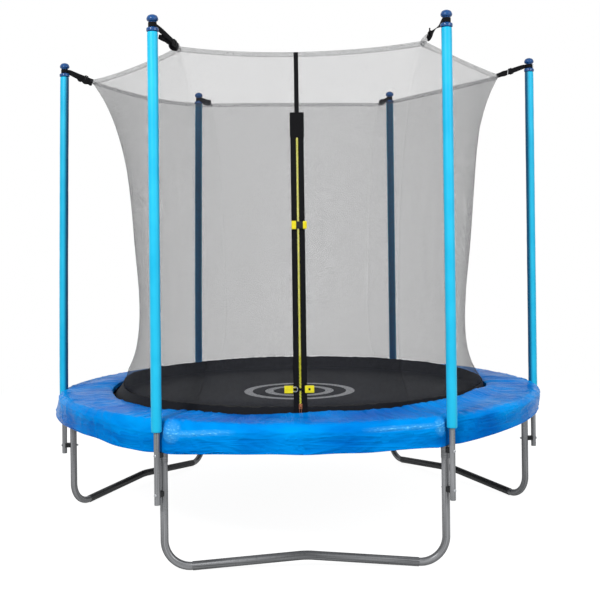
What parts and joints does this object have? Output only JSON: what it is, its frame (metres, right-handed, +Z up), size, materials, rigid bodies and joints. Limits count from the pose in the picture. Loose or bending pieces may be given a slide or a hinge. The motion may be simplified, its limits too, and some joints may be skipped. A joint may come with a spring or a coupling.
{
  "type": "trampoline",
  "caption": "Round garden trampoline on W-shaped steel legs, with a blue spring pad, foam-sleeved poles and an inner safety net with a zipped door.",
  "frame": {"origin": "on the ground, under the middle of the mat", "axes": "+Z up; -Y towards the zipped door; +X towards a pole, to the right seen from the door"},
  "size_m": [2.541, 2.486, 2.35],
  "materials": {
    "galvanised_steel": "galvanised tube, satin",
    "foam_cyan": "thin vinyl skin over foam",
    "cap_blue": "moulded, glossy",
    "zinc_fastener": "zinc plated",
    "plastic_black": "moulded",
    "webbing_black": "woven webbing",
    "net_grey": "fine knitted mesh, see-through",
    "hem_grey": "doubled mesh",
    "zip_yellow": "moulded coil",
    "slider_copper": "painted zinc",
    "clasp_yellow": "moulded",
    "mat_black": "woven polypropylene",
    "spring_steel": "zinc plated wire",
    "pad_blue": "glossy vinyl"
  },
  "bodies": {
    "frame": {"rail_1": "galvanised_steel", "rail_2": "galvanised_steel", "rail_3": "galvanised_steel", "rail_4": "galvanised_steel", "rail_5": "galvanised_steel", "rail_6": "galvanised_steel", "leg_front": "galvanised_steel", "leg_right": "galvanised_steel", "leg_left": "galvanised_steel", "pole_lower_1": "galvanised_steel", "pole_lower_2": "galvanised_steel", "pole_lower_3": "galvanised_steel", "pole_lower_4": "galvanised_steel", "pole_lower_5": "galvanised_steel", "pole_lower_6": "galvanised_steel", "pole_upper_1": "galvanised_steel", "pole_upper_2": "galvanised_steel", "pole_upper_3": "galvanised_steel", "pole_upper_4": "galvanised_steel", "pole_upper_5": "galvanised_steel", "pole_upper_6": "galvanised_steel", "foam_sleeve_1": "foam_cyan", "foam_sleeve_2": "foam_cyan", "foam_sleeve_3": "foam_cyan", "foam_sleeve_4": "foam_cyan", "foam_sleeve_5": "foam_cyan", "foam_sleeve_6": "foam_cyan", "pole_caps": "cap_blue", "pole_bolts": "zinc_fastener", "pole_nuts": "zinc_fastener", "pole_spacers": "plastic_black", "corner_strap_1": "webbing_black", "corner_strap_2": "webbing_black", "corner_strap_3": "webbing_black", "corner_strap_4": "webbing_black", "corner_strap_5": "webbing_black", "corner_strap_6": "webbing_black", "strap_buckles": "plastic_black", "net_panel_1": "net_grey", "net_panel_2": "net_grey", "net_panel_3": "net_grey", "net_panel_4": "net_grey", "net_panel_5": "net_grey", "net_door_left": "net_grey", "net_door_right": "net_grey", "net_top_hem": "hem_grey", "zip_tape": "webbing_black", "zip_chain": "zip_yellow", "door_strap": "webbing_black", "clasp_upper_socket": "clasp_yellow", "clasp_lower_socket": "clasp_yellow", "springs": "spring_steel", "spring_pad": "pad_blue"},
    "jumping_mat": {"mat": "mat_black", "mat_edge_band": "webbing_black", "v_rings": "spring_steel", "net_bottom_band": "webbing_black"},
    "zip_slider": {"zip_slider": "slider_copper"},
    "clasp_upper_tongue": {"clasp_upper_tongue": "clasp_yellow"},
    "clasp_lower_tongue": {"clasp_lower_tongue": "clasp_yellow"}
  },
  "joints": [
    {"name": "mat_bounce", "type": "slide", "parent": "frame", "child": "jumping_mat", "axis": [0, 0, 1], "range_m": [-0.12, 0], "stiffness_N_per_m": 5000, "springref_m": 0.02, "deforming": ["springs"]},
    {"name": "zip_slider_travel", "type": "slide", "parent": "frame", "child": "zip_slider", "axis": [0, 0.0623, 0.9981], "range_m": [0, 1.14]},
    {"name": "clasp_upper_release", "type": "slide", "parent": "frame", "child": "clasp_upper_tongue", "axis": [1, 0, 0], "range_m": [0, 0.045]},
    {"name": "clasp_lower_release", "type": "slide", "parent": "frame", "child": "clasp_lower_tongue", "axis": [1, 0, 0], "range_m": [0, 0.045]}
  ]
}
